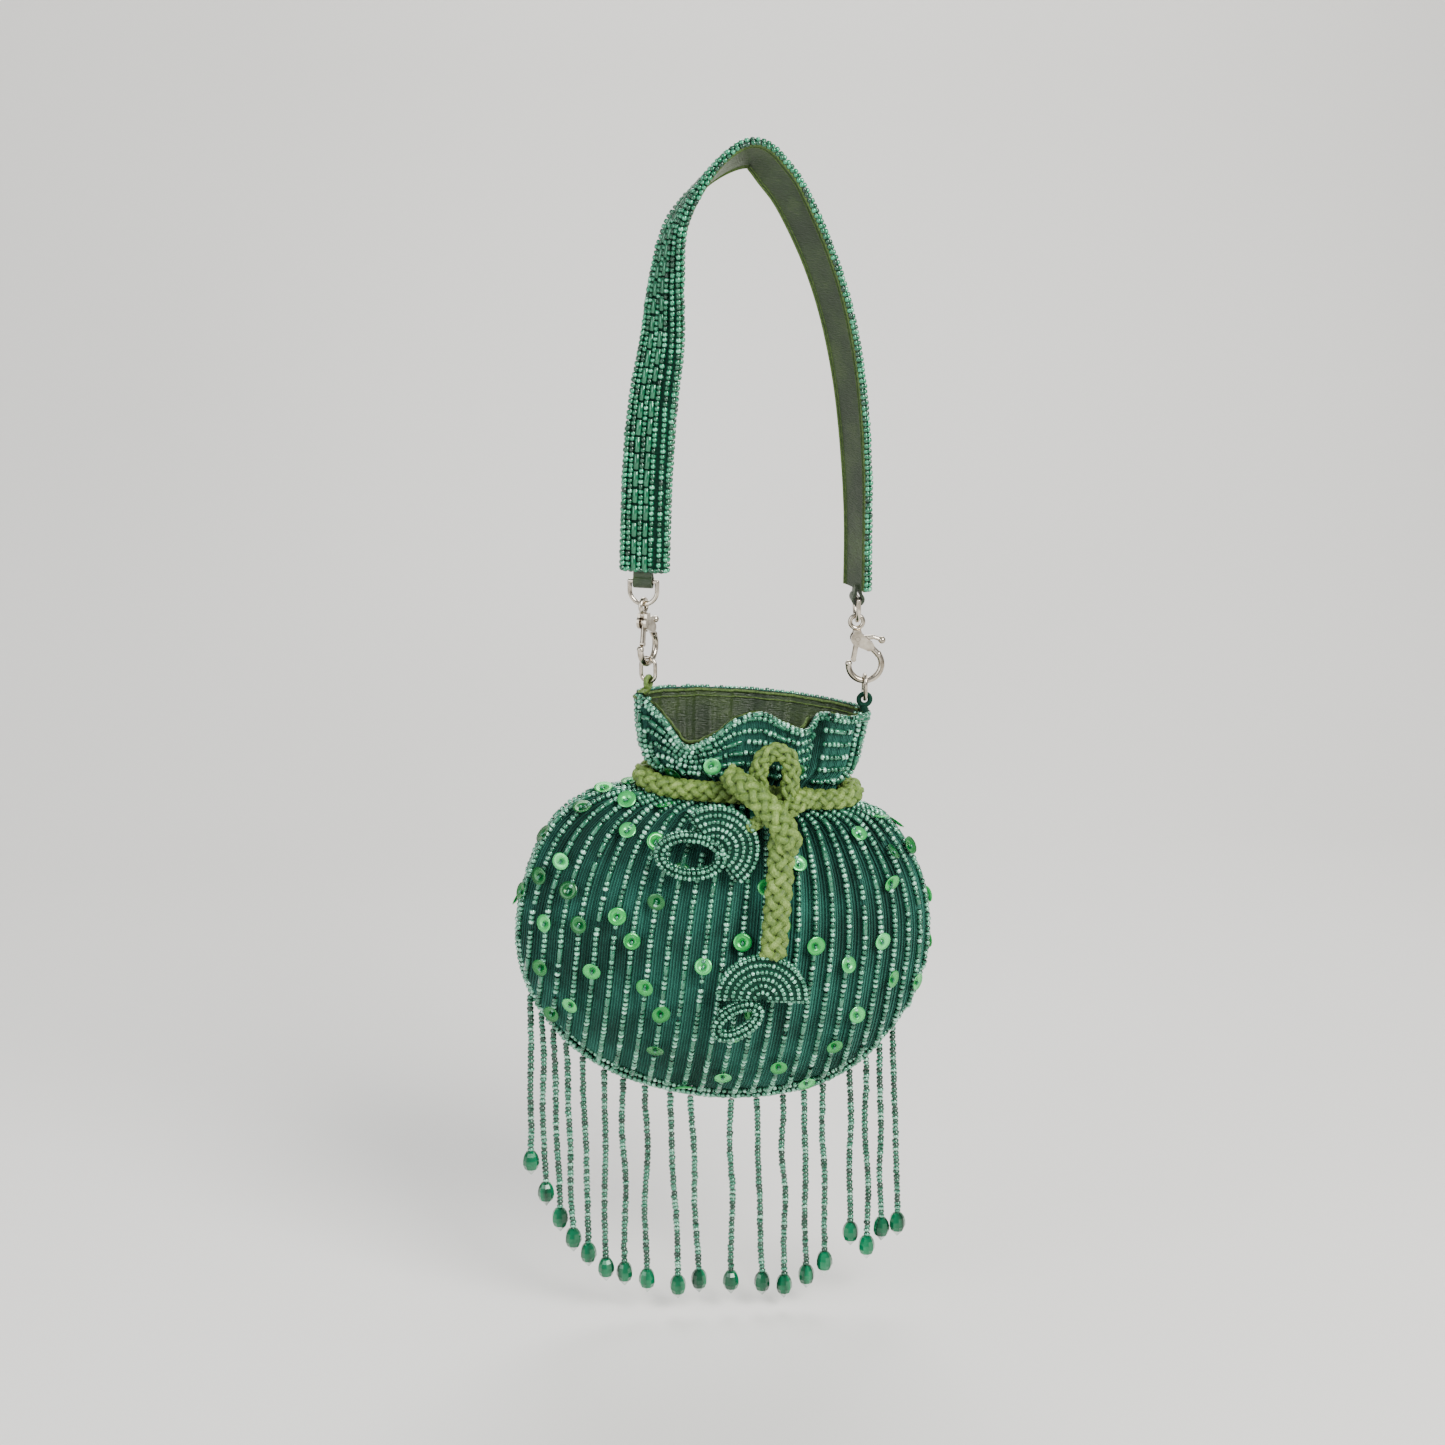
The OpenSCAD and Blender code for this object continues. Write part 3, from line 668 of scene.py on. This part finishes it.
def bead_rows(side):
    """Rows of beads down the ridges of a panel, sequins among them, and rows below the rim."""
    chunks, places = [], []
    for k in range(ROWS):
        t, u = ridge(k)
        if len(u) < MIN_RIDGE:
            continue
        out = normals(t, u, side)
        line = cloth(t, u, side, 0.75)
        chunks += mixed_row(line, out, 0.98, BRIGHT)
        centres, along, share = walk(line, 1.0)
        here = along_share(out, share)
        for s in rng.uniform(0.08, 0.96, 3):
            i = int(s * (len(centres) - 1))
            if all(np.linalg.norm(centres[i] - other) > SEQUIN_GAP for other, *_ in places):
                places.append((centres[i], along[i], here[i]))
    centres, along, out = (np.array(rows) for rows in zip(*places))
    chunks += sequins(centres + out * 0.9, along, out)
    for line in lip_rows(side):
        t, w = line.T
        u = u_at(w)
        chunks += mixed_row(cloth(t, u, side, 0.75), normals(t, u, side), 0.93, BRIGHT)
    if side < 0:
        t, w = np.array(LIP_SEQUINS).T
        u = u_at(w)
        out = normals(t, u, side)
        chunks += sequins(cloth(t, u, side, 1.8), unit(np.cross(out, [0.3, 0, 1])), out)
    return chunks


def seam_line(off):
    """The seam from the left corner of the mouth round the bottom to the right corner, set in
    from the outline. At the bottom it drops a little."""
    row = spline(PROFILE, np.linspace(0, LAST, 300))
    left, right = np.stack([-row[:, 1], row[:, 0]], 1), np.stack([row[:, 2], row[:, 0]], 1)
    edge = np.concatenate([left, right[::-1]])
    along = directions(edge)
    inward = np.stack([-along[:, 1], along[:, 0]], 1)
    inward *= np.sign((inward * ([0, -50] - edge)).sum(1, keepdims=True))
    low = 1.7 * np.clip((-edge[:, 1] - 88) / 20, 0, 1)
    edge = edge + inward * (off - low)[:, None]
    return rolled(edge[:, 0], 0 * edge[:, 0], edge[:, 1])


CORNER_END, BODY_START = 36, 99
# How far in from the outline and how far back each row of beads lies
SEAM_ROWS = ((1.0, 0), (1.9, -1.9), (1.9, 1.9), (4.4, -3.4), (4.4, 3.4))


def seam_parts(line):
    """The rows break off where the cord grips the neck, in the upper corners and below them."""
    return [line[:CORNER_END], line[BODY_START:-BODY_START], line[-CORNER_END:]]


def seam_beads():
    """Five rows of beads round a felt cord."""
    out = unit(seam_line(1.0) - (NECK + [0, 0, -50]))
    chunks = []
    for off, depth in SEAM_ROWS:
        line = seam_line(off) + [0, depth, 0]
        outward = unit(out + [0, np.sign(depth), 0])
        for part, part_out in zip(seam_parts(line), seam_parts(outward)):
            chunks.append(beads(part, part_out, radius=0.95, tints=(0.35, 1)))
    for part in seam_parts(seam_line(1.6)):
        chunks.append((*tube(part, 1.1, 8, [0, 1, 0]), 0, FELT))
    return chunks


for side, name in ((-1, "outer_front"), (1, "outer_back")):
    panel = piece(f"{name}_velvet", [velvet_panel(side)], [velvet], "pouch", [name])
    piece(f"{name}_beads", bead_rows(side), [mint_beads, sequin], "pouch")
piece("seam_beads", seam_beads(), [mint_beads, sequin, dark_felt], "pouch",
      ["seam_piping"])

# ---- lining ----

LINING_INSET = 1.7
LINING_END_U = 15.2
# The light thread's place among the materials, after the satin
THREAD = 1


def lining_cloth(t, u, side, off=0.0):
    """The lining hangs in soft folds inside the velvet."""
    rows = row_of(t, u)
    wave = np.sin(rows * 1.3 + side) + 0.6 * np.sin(rows * 3.1)
    soft = 0.5 * (1 + wave) * np.clip(3 - 3 * np.abs(t), 0, 1)
    inset = LINING_INSET + soft + gathers(t, u, side)
    return smooth_cloth(t, u, side) - normals(t, u, side) * (inset + off)[..., None]


def lining_chunks():
    across = t_of_row(np.linspace(0, ROWS, ROWS * 4 + 1))
    down = spread_u(2.0)
    t, u = np.meshgrid(across, down[down < LINING_END_U])
    chunks = []
    for side in (-1, 1):
        points = lining_cloth(t, u, side)
        chunk = (points.reshape(-1, 3), grid_faces(*t.shape))
        chunks.append(flipped(chunk) if side < 0 else chunk)
    return chunks


def topstitching():
    """A light line along the inside of the rim, and the stitches below it."""
    across = np.linspace(-0.97, 0.97, 200)
    chunks = []
    for side in (-1, 1):
        for w, radius in ((26.9, 0.45), (24.6, 0.25)):
            line = lining_cloth(across, np.full(len(across), u_at(w)), side, 0.3)
            chunks.append((*tube(line, radius, 6, [0, 0, 1]), 0, THREAD))
    return chunks


lining = piece("lining_satin", lining_chunks(), [satin], "pouch", ["lining"])
piece("lining_stitching", topstitching(), [satin, edge_thread], "pouch")

# ---- braided cord ----

YARN_SIDES = 6


def braid(path, width, flat=0.8, up=(0, -1, 0), closed=False, yarns=4):
    """A round braid: half its yarns wind each way and pass over and under each other; a yarn is
    painted darker where it passes under and lighter where it passes over.
    """
    path = np.asarray(path, float)
    ends = np.concatenate([path, path[:1]]) if closed else path
    s = lengths(ends)
    at = np.linspace(0, s[-1], int(s[-1] / (width * 0.07)), endpoint=not closed)
    line = between(at, s, ends)
    t = directions(line, closed)
    a = unit(np.cross(t, np.broadcast_to(up, line.shape)))
    b = np.cross(t, a)
    turns = max(1, round(s[-1] / (width * 2.5)))
    phase = 2 * np.pi * turns * at / s[-1]
    yarn_r = width * 0.185
    mid_r = width / 2 - yarn_r
    chunks = []
    for way in (-1, 1):
        for j in range(yarns):
            angle = way * phase + 2 * np.pi * j / yarns
            r = mid_r + way * yarn_r * 0.45 * np.cos(yarns * phase)
            radial = a * np.cos(angle)[:, None] + b * np.sin(angle)[:, None] * flat
            # Painted shade: the tint is darker where the yarn dips under the others and lighter
            # where it passes over, besides a random tone per yarn
            yarn_tint_shaded_under = 0.45 + 0.35 * rng.uniform() + 0.3 * way * np.cos(yarns * phase)
            centre = line + radial * r[:, None]
            strand = tube(centre, yarn_r * 0.92, YARN_SIDES, unit(radial), closed)
            chunks.append((*strand, np.repeat(yarn_tint_shaded_under, YARN_SIDES)))
    chunks.append(tube(line, mid_r * flat, 8, up, closed))
    return chunks


CORD_RING = (35.2, 15.6)
CORD_D = 7.4
around = np.linspace(0, 2 * np.pi, 120, endpoint=False)
ring_path = rolled(CORD_RING[0] * np.cos(around), CORD_RING[1] * np.sin(around),
                   0.7 * np.sin(3 * around))
ring = braid(ring_path, CORD_D, 0.85, (0, 0, 1), closed=True)
piece("neck_cord", ring, [yarn], "pouch", ["drawcord_loop"])

BOW = [[2.2, -23.6, -203], [0.6, -23.2, -196], [2.4, -22.6, -189.5], [7, -22.4, -187.4],
       [10.8, -22.6, -190], [11.4, -23.2, -196], [9.8, -23.6, -203]]
WRAP = [[-8, -19, -196.5], [-5.5, -25, -197.2], [-1.5, -29.5, -199.5], [3.4, -32, -204],
        [7.6, -33.2, -209.3], [9.6, -33.5, -214], [8.6, -31, -218]]
LUMP = [[17.5, -19.5, -204], [13.5, -23.5, -204.5], [9, -25, -206.5], [4, -24.5, -207.5]]
knot = []
for route, points, width, flat in ((BOW, 60, 6.0, 0.8), (WRAP, 60, 8.4, 0.8), (LUMP, 40, 7.0, 0.85)):
    knot += braid(sampled(route, points), width, flat)
piece("knot_braid", knot, [yarn], "pouch", ["drawcord_knot"])

FRONT_TAIL = [[7.6, -30.6, -216.2], [7.1, -32, -226], [6, -33.2, -238], [5, -33.6, -250.6]]
SIDE_TAIL = [[0.3, -29.9, -208.5], [-0.6, -29.9, -209.1], [-1.9, -29.9, -209.9]]
tail_path = sampled([[8.2, -28.6, -212]] + FRONT_TAIL + [[4.7, -33.6, -254]], 70)
piece("front_tail_braid", braid(tail_path, 8.6, 0.7), [yarn], "cord_end_front",
      ["cord_tail_front"])
side_path = sampled([[2.4, -28.4, -207]] + SIDE_TAIL + [[-3.2, -29.4, -210.6]], 30)
piece("side_tail_braid", braid(side_path, 4.4, 0.8), [yarn], "cord_end_side",
      ["cord_tail_side"])

# ---- beaded tassels ----

PAD_HALF = 1.3
# Step, radius and length of the beads on the arcs
SMALL_BEAD = (1.5, 0.78, 1.3)
# The felt's place among the materials, after the beads
PAD = 1


def fan_pad(radius, half_t):
    """A half-round felt pad; it lies in XZ with its straight edge down."""
    section = [(0.3, -1), (0.6 * radius, -1), (0.92 * radius, -0.7), (radius, 0),
               (0.92 * radius, 0.7), (0.6 * radius, 1), (0.3, 1)]
    angle = np.linspace(0, np.pi, 33)
    rings = [[[r * np.cos(a), y * half_t, r * np.sin(a)] for r, y in section] for a in angle]
    return np.concatenate(rings), skin_faces(len(angle), len(section), False)


def half_ring(radius, y):
    angle = np.linspace(0.02, np.pi - 0.02, 60)
    return np.stack([radius * np.cos(angle), np.full(60, y), radius * np.sin(angle)], 1)


def oval(centre, long_r, short_r, tilt, y):
    angle = np.linspace(0, 2 * np.pi, 90)
    x, z = long_r * np.cos(angle), short_r * np.sin(angle)
    c, s = cos_sin(tilt)
    return np.stack([centre[0] + x * c - z * s, np.full(90, y), centre[1] + x * s + z * c], 1)


def tassel(centre, turn, radius, petal, long_r, short_r, tilt):
    """Arcs of beads on a pad, front and back, with an oval loop of beads in front of it."""
    c, s = cos_sin(turn)

    def place(points):
        x, y, z = np.asarray(points).T
        return np.array(centre) + np.stack([x * c + z * s, y, -x * s + z * c], 1)

    pad, pad_faces = fan_pad(radius - 0.6, PAD_HALF)
    chunks = [(place(pad), pad_faces, 0, PAD)]
    for y in (-1, 1):
        for r in np.linspace(2.6, radius - 0.8, 6):
            rise = PAD_HALF * (1 if r < 0.7 * radius else 0.8)
            chunks.append(beads(place(half_ring(r, y * rise)), [0, y, 0], *SMALL_BEAD,
                                tints=(0.2, 0.95)))
    for side in (-1, 1):
        across = side * np.linspace(1.5, radius - 1, 30)
        edge = np.stack([across, 0 * across, np.full(30, -0.6)], 1)
        chunks.append(beads(place(edge), [0, -1, 0], 1.5, 0.75, 1.3, tints=(0.1, 0.8)))
    for r in (1.0, -1.0):
        line = oval(petal, long_r + r, short_r + r, tilt, centre[1] - 1.6)
        for y, out_y in ((0, -1), (3.2, 1)):
            chunks.append(beads(line + [0, y, 0], [0, out_y, 0], 1.5, 0.8, 1.3, tints=(0.15, 0.85)))
    ring = tube(oval(petal, long_r, short_r, tilt, centre[1])[:-1], 1.5, 8, [0, 1, 0], closed=True)
    chunks.append((*ring, 0, PAD))
    return chunks


front_tassel = tassel((1, -33.6, -268.6), 4, 15.4, (-7.1, -276.2), 7.8, 4.2, 30)
piece("front_tassel_beads", front_tassel, [mint_beads, dark_felt], "cord_end_front",
      ["tassel_front"])
side_tassel = tassel((-14.2, -29.8, -217.4), 56, 14.8, (-22.2, -219.5), 10.2, 6.5, -8)
piece("side_tassel_beads", side_tassel, [mint_beads, dark_felt], "cord_end_side",
      ["tassel_side"])

# ---- fringe: strands of beads with faceted drops ----

# Where each strand leaves the seam, where it ends, and the height of its drop's tip
FRINGE = [
    [-74.4, -75.6, -345], [-71, -70.6, -357], [-67, -65.9, -367], [-62.8, -61.4, -375],
    [-57, -56.2, -381], [-49.9, -50.1, -387], [-43.3, -43.6, -389], [-35.8, -35.7, -392],
    [-27.2, -24.8, -395], [-20.3, -17.3, -393], [-6, -6, -394], [2.7, 5.1, -395],
    [12.1, 12.9, -396.5], [19.3, 20.8, -393], [25.9, 27.2, -388], [35.2, 36.4, -377],
    [41, 42.2, -382.5], [45.4, 47.3, -375.6], [50, 53, -374]]
DROP_H = 9
STRAND_R = 1.2
STRAND_STEPS = 40
SEAM = seam_line(1.0)
SEAM = SEAM[SEAM[:, 2] < -262]


def strand_path(i):
    """The strand's own route from the seam to its drop, in a slight wave."""
    x, drop_x, tip = FRINGE[i]
    a = np.array([x, 0, np.interp(x, SEAM[:, 0], SEAM[:, 2]) - 1.2])
    b = np.array([drop_x, 0, tip + DROP_H])
    wave = np.array([-0.25 if i % 2 == 0 else 0.25, 0, 0])
    points = sampled([a, a + (b - a) * 0.3 + wave, a + (b - a) * 0.65 - wave, b], STRAND_STEPS)
    size, turns, start = rng.uniform(0.15, 0.55), rng.uniform(8, 13), rng.uniform(0, 6)
    kink = size * np.sin(np.linspace(0, turns, STRAND_STEPS) + start)
    fade = np.sin(np.linspace(0, np.pi, STRAND_STEPS))
    return points + (kink * fade)[:, None] * [1, 0.5, 0]


def drop_chunks(top):
    """A drop with nine flat sides: emerald above, silvered at the tip."""
    heights = np.array([9.0, 8.6, 7.4, 5.9, 4.2, 2.5, 1.2, 0.0]) - DROP_H
    radii = [0.9, 1.7, 2.45, 2.85, 2.9, 2.3, 1.15, 0.2]
    sides, spin = 9, rng.uniform(0, 1)
    angle = 2 * np.pi * (np.arange(sides) + spin) / sides
    rings = np.concatenate([
        np.stack([r * np.cos(angle), r * np.sin(angle), np.full(sides, z)], 1)
        for r, z in zip(radii, heights)]) + top
    quads, cap_a, cap_b = skin_faces(len(radii), sides, False)
    bands = quads.reshape(-1, sides, 4)
    # Each flat side gets its own random tint: painted light and shade on the facets
    tint = np.tile(rng.uniform(0, 1, sides), len(radii))
    tip = 5
    return [(rings, [bands[:tip].reshape(-1, 4), cap_a], tint, 0),
            (rings, [bands[tip:].reshape(-1, 4), cap_b], tint, 1)]


for i in range(len(FRINGE)):
    number = f"{i + 1:02d}"
    path = strand_path(i)
    drop = piece(f"drop_{number}_crystal", drop_chunks(path[-1]), [emerald, clear_tip],
                 f"fringe_{number}", [f"drop_{number}"], smooth=False)
    row = beads(path, [0, -1, 0], 1.5, STRAND_R, 1.3, loose=0.1)
    thread = tube(path, 0.75, 6, [0, 1, 0])
    strand = piece(f"strand_{number}_beads", [row, thread], [fringe_beads], f"fringe_{number}",
                   [f"strand_{number}"])

# ---- handle strap ----

STRAP = np.array([
    [-34.6, 0, -131.6], [-34, 0, -113.6], [-33.1, 0, -95], [-31.3, 0, -75.6], [-28.3, 0, -56.5],
    [-26.6, 0, -37], [-23, 0, -19.6], [-12, 0, -5], [0, 0, 1.4], [8, 0, -5.6], [14, 0, -14.6],
    [22, 0, -32], [28, 0, -50.8], [32.2, 0, -73], [34.6, 0, -98], [35.4, 0, -119],
    [35.4, 0, -138.4]])
# How far the outer face turns from the front, in degrees, at each of those points
TURN = [72, 72, 70, 62, 48, 30, 11, -12, -34, -42, -38, -34, -32, -28, -24, -20, -20]
steps = np.linspace(0, len(STRAP) - 1, 260)
strap_line = spline(STRAP, steps)
strap_turn = np.radians(spline(TURN, steps))[:, None]
strap_t = directions(strap_line)
to_y = np.array([0, 1.0, 0])
strap_across = np.cos(strap_turn) * to_y + np.sin(strap_turn) * np.cross(strap_t, to_y)
strap_out = np.cross(strap_t, strap_across)


def ribbon(line, across, out, width, low, high):
    """A closed ribbon along a line, between two heights over it."""
    a = across * width / 2
    rings = np.stack([line + a + out * low, line + a + out * high,
                      line - a + out * high, line - a + out * low], 1)
    return flipped((rings.reshape(-1, 3), skin_faces(len(line), 4, False)))


# Height of the beads on the face, and their step, radius and length
FACE_H = 1.3
FACE_BEAD = (1.7, 0.9, 1.45)


def strap_row(across, height):
    return strap_line + strap_across * across + strap_out * height


def strap_beads():
    """Lengthwise rows of seed beads and bugles, edge beads, and a cross row at each end."""
    chunks = []
    for across in (7.0, 5.2, 1.5, -2.2, -5.1):
        chunks.append(beads(strap_row(across, FACE_H), strap_out, *FACE_BEAD))
    for across in (3.35, -0.35):
        chunks.append(beads(strap_row(across, FACE_H), strap_out, 5.6, 1.0, 4.9, BUGLE, 0.03,
                            (0.6, 1)))
    for across in (-7.3, 7.5):
        edge_out = unit(strap_out * 0.4 + strap_across * np.sign(across))
        chunks.append(beads(strap_row(across, 0.6), edge_out, radius=0.9, tints=(0.1, 1)))
    side_out = unit(-strap_across - 0.4 * strap_out)
    chunks.append(beads(strap_row(-7.75, -0.75), side_out, radius=0.8, tints=(0, 0.8)))
    for k in (1, -2):
        a = np.linspace(-6.8, 6.8, 12)[:, None]
        for rise in (FACE_H, 0.2):
            line = strap_line[k] + strap_across[k] * a + strap_out[k] * rise
            chunks.append(beads(line, strap_out[k], *FACE_BEAD))
    return chunks


strap_felt = ribbon(strap_line, strap_across, strap_out, 14.6, -0.1, 0.75)
piece("strap_felt", [strap_felt], [dark_felt], "handle", ["strap_face"], smooth=False)
piece("strap_beads", strap_beads(), [green_beads], "handle")

DRING_LEFT, DRING_RIGHT = (-34.9, 0, -135), (35.4, 0, -141.9)
KEEPER_R, KEEPER_RUN, KEEPER_W, KEEPER_T = 1.75, 4.6, 6.2, 0.9


def keeper(bar, facing):
    """A strip that comes down from the strap, round the bar of the D-ring and up again."""
    angle = np.radians(np.linspace(-60, 240, 16)[::-1])
    loop = np.stack([0 * angle, KEEPER_R * np.cos(angle), -KEEPER_R * np.sin(angle)], 1)
    x, y, z = np.concatenate([[[0, -0.6, KEEPER_RUN]], loop, [[0, 0.6, KEEPER_RUN]]]).T
    c, s = cos_sin(facing)
    path = np.array(bar) + np.stack([x * c - y * s, x * s + y * c, z], 1)
    across = np.array([c, s, 0])
    out = unit(np.cross(directions(path), across))
    return ribbon(path, across, out, KEEPER_W, -KEEPER_T / 2, KEEPER_T / 2)


backing = [ribbon(strap_line, strap_across, strap_out, 14.8, -1.15, -0.2),
           keeper(DRING_LEFT, -18), keeper(DRING_RIGHT, 90)]
# A cord along each edge, then a line of stitches beside it: place across, height, radius, sides
for across, height, radius, sides in ((-6.9, -1.15, 0.42, 6), (6.9, -1.15, 0.42, 6),
                                      (5.6, -1.18, 0.18, 5), (-5.6, -1.18, 0.18, 5)):
    line = tube(strap_row(across, height), radius, sides, strap_out)
    backing.append((*line, 0, THREAD))
piece("strap_satin", backing, [satin, edge_thread], "handle", ["strap_backing"],
      smooth=False)

# ---- fabric tabs that hold the rings at the corners of the mouth ----

TAB_R = 1.9
TAB_STEPS = 40


def tab(name, centre, facing, corner, material):
    """A loop of thread round the ring, and a foot from under it to the corner of the mouth."""
    angle = np.linspace(0, 2 * np.pi, TAB_STEPS, endpoint=False)
    c, s = cos_sin(facing)
    across, up = TAB_R * np.cos(angle), TAB_R * np.sin(angle)
    loop = np.array(centre) + np.stack([across * c, across * s, up], 1)
    lowest = loop[TAB_STEPS * 3 // 4]
    middle = [(centre[0] + corner[0]) / 2, centre[1] / 2, centre[2] - 3.2]
    foot = tube(sampled([lowest, middle, corner], 16), 1.25, 8, [0, 1, 0])
    wound = tube(loop, 0.85, 10, [-s, c, 0], closed=True)
    piece(f"{name}_thread", [(*wound, 0.6), (*foot, 0.5)], [material], "pouch", [name])


tab("tab_left", (-33.4, 2.6, -169.75), 60, (-38.0, 0, -174.5), yarn)
tab("tab_right", (38.4, 0, -176.65), 0, (38.2, 0, -183.5), dark_felt)

# ---- metal: the CAD model's own shapes ----

for node in ("dring", "clasp", "lever", "bag_ring"):
    for side in ("left", "right"):
        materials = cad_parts[f"{node}_{side}"].data.materials
        materials.clear()
        materials.append(metal)

# ---- stage and light ----


def stage():
    """A pale floor that curves up into a backdrop."""
    material, tree, principled = shader("pale_paper", Roughness=0.85)
    colour_by(tree, principled, noise(tree, 1.2, 2), [
        (0.3, (0.70, 0.69, 0.66)), (0.7, (0.80, 0.79, 0.76))])
    floor_z, back_y, top_z, bend, far = -401.0, 900.0, 4000, 400.0, 9000
    angle = np.linspace(0, np.pi / 2, 24)
    curve_y, curve_z = back_y - bend + bend * np.sin(angle), floor_z + bend * (1 - np.cos(angle))
    line = [(-far, floor_z), *zip(curve_y, curve_z), (back_y, top_z)]
    points = np.array([[x, y, z] for x in (-far, far) for y, z in line])
    n = len(line)
    first = np.arange(n - 1)
    faces = np.stack([first, first + n, first + n + 1, first + 1], 1)
    mesh = bpy.data.meshes.new("paper")
    mesh.from_pydata((points * MM).tolist(), [], faces.tolist())
    mesh.polygons.foreach_set("use_smooth", [True] * len(mesh.polygons))
    mesh.materials.append(material)
    paper = bpy.data.objects.new("paper", mesh)
    bpy.context.scene.collection.objects.link(paper)


def soft_light(name, at, size, power, colour):
    data = bpy.data.lights.new(name, "AREA")
    data.size, data.energy, data.color = size, power, colour
    light = bpy.data.objects.new(name, data)
    bpy.context.scene.collection.objects.link(light)
    aim(light, at, (0, 0, -220))


stage()
soft_light("key", (520, -800, 480), 0.6, 24, (1, 0.98, 0.95))
soft_light("fill", (-800, -600, 50), 0.8, 7, (0.96, 0.98, 1))
soft_light("back", (100, 600, 500), 0.6, 7, (1, 1, 1))
world = bpy.data.worlds.new("soft_world")
world.use_nodes = True
world.node_tree.nodes["Background"].inputs["Color"].default_value = (0.93, 0.95, 1, 1)
world.node_tree.nodes["Background"].inputs["Strength"].default_value = 0.5
bpy.context.scene.world = world
